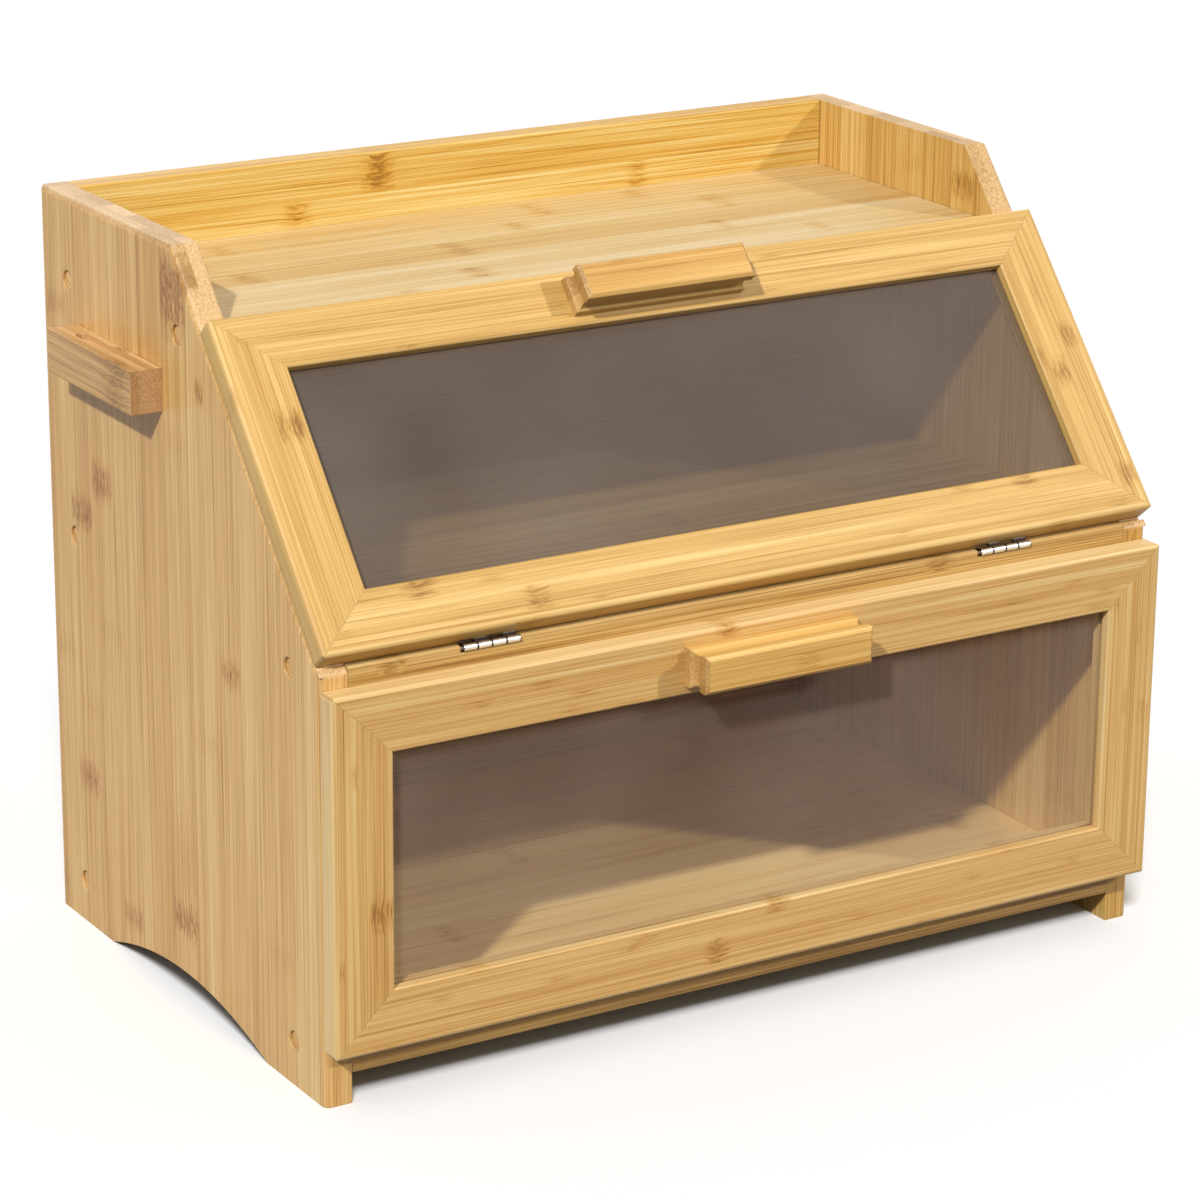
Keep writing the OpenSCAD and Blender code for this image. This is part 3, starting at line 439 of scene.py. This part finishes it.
# joints on the doors' frames: across the door, up the door, reach, half width and depth
frameJoints = {
    "upper_door_top_rail": [],
    "upper_door_bottom_rail": [(141, 23, 8, 3, 0.4), (-151, 21, 9, 5, 0.35), (-102, 9, 8, 6, 0.4)],
    "upper_door_left_stile": [(-181, 97, 9, 6, 0.45)],
    "upper_door_right_stile": [(193, 85, 8, 4, 0.4), (182, 68, 9, 5, 0.45), (194, 17, 8, 4, 0.35)],
    "lower_door_top_rail": [(-20, 149, 8, 3, 0.4)],
    "lower_door_bottom_rail": [(-23, 10, 8, 6, 0.45), (7, 24, 7, 3, 0.35)],
    "lower_door_left_stile": [(-179, 59, 9, 6, 0.45)],
    "lower_door_right_stile": [],
}
for seed, (piece, joints) in enumerate(frameJoints.items(), 20):
    door, look = (lowerDoor, lowerBamboo)
    if piece.startswith("upper"):
        door, look = (upperDoor, doorBamboo)
    if piece.endswith("rail"):
        bambooPieces[piece] = bambooLook(look, across=door["up"], start=door["start"],
                                         seed=seed, joints=joints)
    else:
        upright = [(up, side, *rest) for side, up, *rest in joints]
        bambooPieces[piece] = bambooLook(look, grain=door["up"], across=(1, 0, 0),
                                         start=door["start"], seed=seed, joints=upright)

acrylic = {
    "hazePatches": 9,         # to a metre, each about 110 mm across
    "hazeStops": (0.3, 0.7),  # from thin haze to thick
    "ior": 1.49,
    "roughness": 0.06,
}


# Clear acrylic sheet, cast, drawn as a patchy veil over what lies behind it: painted shade on the
# upper window and painted reflection on the lower, not a colour of the clear sheet
def castAcrylic(name, sheet):
    material, tree = newMaterial(name)
    coords = addNode(tree, "TexCoord").outputs["Object"]
    haze = addNode(tree, "TexNoise", {"Vector": coords, "Scale": acrylic["hazePatches"],
                                      "Detail": 2}).outputs[0]
    colour = addNode(tree, "ValToRGB", {"Fac": haze})
    fillRamp(colour.color_ramp, zip(acrylic["hazeStops"], sheet["tones"]))
    veil = addNode(tree, "MapRange", {
        "Value": haze, "From Min": acrylic["hazeStops"][0], "From Max": acrylic["hazeStops"][1],
        "To Min": sheet["veil"][0], "To Max": sheet["veil"][1]}).outputs[0]
    shader = addNode(tree, "BsdfPrincipled", {
        "Base Color": colour.outputs["Color"], "IOR": acrylic["ior"],
        "Roughness": acrylic["roughness"], "Alpha": veil})
    addNode(tree, "OutputMaterial", {"Surface": shader.outputs[0]})
    return material


clearSheets = {
    # painted shade: the upper sheet's thick grey-brown veil darkens the inside seen through it
    "upper_window": {"tones": ("#6C6056", "#7A6E64"), "veil": (0.28, 0.38)},
    # painted reflection: the lower sheet's thin pale veil stands in for a faint reflection on it
    "lower_window": {"tones": ("#B09B8A", "#C0AB9A"), "veil": (0.095, 0.14)},
}


# Painted shade on a hinge, where the knuckles meet and in the crease beside them: 1 there, 0
# elsewhere
def paintedKnuckleShade(tree, coords, hinge):
    point = addNode(tree, "VectorMath", {0: coords, "Scale": mmPerMetre},
                    operation="SCALE").outputs[0]
    sides = addNode(tree, "SeparateXYZ", {0: point}).outputs
    fromMiddle = addNode(tree, "Math", {0: sides["X"]}, operation="ABSOLUTE").outputs[0]
    fromHinge = addNode(tree, "Math", {0: fromMiddle, 1: hinge["middle"]},
                        operation="SUBTRACT").outputs[0]
    toSeam = addNode(tree, "Math", {0: fromHinge, 1: hinge["knuckle"] / 2},
                     operation="PINGPONG").outputs[0]
    seam = addNode(tree, "MapRange", {
        "Value": toSeam, "From Min": hinge["seam"][0], "From Max": hinge["seam"][1],
        "To Min": 1, "To Max": 0}).outputs[0]
    inSection = addNode(tree, "CombineXYZ", {1: sides["Y"], 2: sides["Z"]}).outputs[0]
    fromAxis = addNode(tree, "VectorMath", {0: inSection, 1: (0, *hinge["axis"])},
                       operation="DISTANCE").outputs["Value"]
    onLeaf = addNode(tree, "MapRange", {"Value": fromAxis, "From Min": hinge["barrel"][0],
                                        "From Max": hinge["barrel"][1]}).outputs[0]
    crease = addNode(tree, "MapRange", {
        "Value": fromAxis, "From Min": hinge["crease"][0], "From Max": hinge["crease"][1],
        "To Min": 1, "To Max": 0}).outputs[0]
    # painted shade in the seams on the knuckles and in the crease on the flat of the leaf
    return addNode(tree, "Mix", {0: onLeaf, 2: seam, 3: crease}, data_type="FLOAT").outputs[0]


plating = {
    "toneStops": (0.3, 0.7),
    "arrisRadius": 0.2,   # mm
    "lineBump": 0.2,
    "lineHeight": 0.02,   # mm
}


# Drawn and plated steel: bright, with fine lines along the drawing direction
def platedSteel(name, metal, hinge=None):
    material, tree = newMaterial(name)
    coords = addNode(tree, "TexCoord").outputs["Object"]
    stretched = addNode(tree, "VectorMath", {0: coords, 1: metal["lines"]},
                        operation="MULTIPLY").outputs[0]
    lines = addNode(tree, "TexNoise", {"Vector": stretched, "Scale": 1, "Detail": 2}).outputs[0]
    colour = addNode(tree, "ValToRGB", {"Fac": lines})
    fillRamp(colour.color_ramp, zip(plating["toneStops"], metal["tones"]))
    tone = colour.outputs["Color"]
    if hinge:
        # painted shade: the seams and the crease of a hinge are drawn dark brown
        paintedShade = paintedKnuckleShade(tree, coords, hinge)
        shadedTone = addNode(tree, "Mix", {"Factor": paintedShade}, data_type="RGBA")
        tree.links.new(tone, shadedTone.inputs[6])
        shadedTone.inputs[7].default_value = linearColour(hinge["paintedShade"])
        tone = shadedTone.outputs[2]
    roughness = addNode(tree, "MapRange", {"Value": lines, "To Min": metal["rough"][0],
                                           "To Max": metal["rough"][1]}).outputs[0]
    softEdge = addNode(tree, "Bevel", {"Radius": plating["arrisRadius"] / mmPerMetre},
                       samples=4).outputs[0]
    bump = addNode(tree, "Bump", {
        "Height": lines, "Strength": plating["lineBump"],
        "Distance": plating["lineHeight"] / mmPerMetre, "Normal": softEdge}).outputs[0]
    shader = addNode(tree, "BsdfPrincipled", {"Base Color": tone, "Metallic": 1.0,
                                              "Roughness": roughness, "Normal": bump})
    addNode(tree, "OutputMaterial", {"Surface": shader.outputs[0]})
    return material


# lines are how many there are to a metre along X, Y and Z: 4000 is one every 0.25 mm
metals = {
    # nickel over pressed steel: warm white, with a satin shine
    "nickelPlatedSteel": {"lines": (300, 4000, 4000), "tones": ("#D2CCC2", "#EDE9E2"),
                          "rough": (0.28, 0.42)},
    # zinc: greyer and duller
    "zincPlatedSteel": {"lines": (2500, 2500, 2500), "tones": ("#A9ABAD", "#C9CBCC"),
                        "rough": (0.28, 0.42)},
    # sintered magnet with its nickel skin: darker
    "magnetSkin": {"lines": (1800, 1800, 1800), "tones": ("#8B8A88", "#A9A7A3"),
                   "rough": (0.25, 0.4)},
}
metalPieces = {
    "nickelPlatedSteel": ["upper_hinge_pins", "lower_hinge_pins", "shelf_leaf_screws",
                          "board_leaf_screws", "upper_door_leaf_screws", "lower_door_leaf_screws"],
    "zincPlatedSteel": ["carcass_screws", "tray_rail_screws", "back_panel_screws",
                        "side_grip_screws", "upper_handle_screws", "lower_handle_screws",
                        "upper_strikes", "lower_strikes"],
    "magnetSkin": ["upper_magnets", "lower_magnets"],
}

plainHinge = {
    "middle": 124.5,        # mm from the middle of the box to the middle of the hinge
    "knuckle": 6.5,         # mm long, four to a hinge
    "seam": (0.25, 0.6),    # mm from where two knuckles meet, from full painted shade to none
    "barrel": (1.55, 1.7),  # mm from the axis, where the knuckles end and the leaf begins
    "crease": (3.2, 4.2),   # mm from the axis, from full painted shade to none
    # colour of the painted shade in the seams and the crease
    "paintedShade": "#3A3029",
}
# axis is the hinge's place in Y and Z
hinges = {
    "upperHinge": {**plainHinge, "axis": (-111.85, 182.5),
                   "leaves": ["upper_hinge_shelf_leaves", "upper_hinge_door_leaves"]},
    "lowerHinge": {**plainHinge, "axis": (-111.85, 23.7),
                   "leaves": ["lower_hinge_board_leaves", "lower_hinge_door_leaves"]},
}


def dress(node, material):
    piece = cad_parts[node]
    piece.data.materials.clear()
    piece.data.materials.append(material)


for node, wood in bambooPieces.items():
    dress(node, lacqueredBamboo("lacqueredBamboo_" + node, wood))
for node, sheet in clearSheets.items():
    dress(node, castAcrylic("castAcrylic_" + node, sheet))
for finish, nodes in metalPieces.items():
    steel = platedSteel(finish, metals[finish])
    for node in nodes:
        dress(node, steel)
for name, hinge in hinges.items():
    steel = platedSteel("nickelPlatedSteel_" + name, metals["nickelPlatedSteel"], hinge)
    for node in hinge["leaves"]:
        dress(node, steel)
print("materials made")

studio = {
    "floorReach": 9000,
    "floorTone": "#E7E7E7",
    "floorBounce": 0.16,  # share of the floor's tone that lights the box from below
    "skyLow": 0.14,       # room light at the horizon and overhead
    "skyHigh": 0.6,
    "backdrop": 1.0,      # strength that is seen directly: white
    "lamps": {
        "leftKey": {"from": (-0.60, -0.49, 0.62), "power": 3.1, "angle": 2.5, "lights": "box"},
        "rightFill": {"from": (0.58, -0.65, 0.48), "power": 1.5, "angle": 3, "lights": "box"},
        "backFill": {"from": (0.2, 1, 0.08), "power": 1.7, "angle": 20, "lights": "box"},
        "floorWash": {"from": (-0.363, -0.595, 0.70), "power": 3.7, "angle": 15,
                      "lights": "floor"},
    },
}


def seenDirectly(tree):
    # 1 for rays of the camera, of reflections and through clear sheets
    path = addNode(tree, "LightPath").outputs
    either = addNode(tree, "Math", {0: path["Is Camera Ray"], 1: path["Is Glossy Ray"]},
                     operation="MAXIMUM").outputs[0]
    return addNode(tree, "Math", {0: either, 1: path["Is Transmission Ray"]},
                   operation="MAXIMUM").outputs[0]


def addFloor(look):
    mesh = bpy.data.meshes.new("studioFloor")
    sheet = bmesh.new()
    bmesh.ops.create_grid(sheet, x_segments=1, y_segments=1, size=look["floorReach"] / mmPerMetre)
    sheet.to_mesh(mesh)
    sheet.free()
    floor = bpy.data.objects.new("studioFloor", mesh)
    bpy.context.scene.collection.objects.link(floor)
    material, tree = newMaterial("paintedFloor")
    share = addNode(tree, "MapRange", {"Value": seenDirectly(tree),
                                       "To Min": look["floorBounce"]}).outputs[0]
    tone = addNode(tree, "VectorMath", {0: linearColour(look["floorTone"])[:3], "Scale": share},
                   operation="SCALE").outputs[0]
    matt = addNode(tree, "BsdfDiffuse", {"Color": tone}).outputs[0]
    addNode(tree, "OutputMaterial", {"Surface": matt})
    mesh.materials.append(material)
    return floor


def addWorld(look):
    world = bpy.data.worlds.new("studioRoom")
    world.use_nodes = True
    tree = world.node_tree
    tree.nodes.clear()
    coords = addNode(tree, "TexCoord").outputs["Generated"]
    height = addNode(tree, "SeparateXYZ", {0: coords}).outputs["Z"]
    sky = addNode(tree, "MapRange", {"Value": height, "To Min": look["skyLow"],
                                     "To Max": look["skyHigh"]}).outputs[0]
    level = addNode(tree, "Mix", {0: seenDirectly(tree), 2: sky, 3: look["backdrop"]},
                    data_type="FLOAT").outputs[0]
    shade = addNode(tree, "Background", {"Color": (1, 1, 1, 1), "Strength": level}).outputs[0]
    addNode(tree, "OutputWorld", {"Surface": shade})
    bpy.context.scene.world = world


def addLamps(look, floor):
    # the box and the floor have lamps of their own, so that the floor stays an even white
    # with a short shadow, however strong the light on the box is
    groups = {"box": list(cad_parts.values()), "floor": [floor]}
    for name, lamp in look["lamps"].items():
        lampData = bpy.data.lights.new(name, "SUN")
        lampData.energy = lamp["power"]
        lampData.angle = math.radians(lamp["angle"])
        sun = bpy.data.objects.new(name, lampData)
        sun.rotation_euler = Vector(lamp["from"]).to_track_quat("Z", "Y").to_euler()
        bpy.context.scene.collection.objects.link(sun)
        lit = bpy.data.collections.new("litBy_" + name)
        for piece in groups[lamp["lights"]]:
            lit.objects.link(piece)
        sun.light_linking.receiver_collection = lit


studioFloor = addFloor(studio)
addWorld(studio)
addLamps(studio, studioFloor)
bpy.context.scene.view_settings.view_transform = "Standard"
print("studio lit")
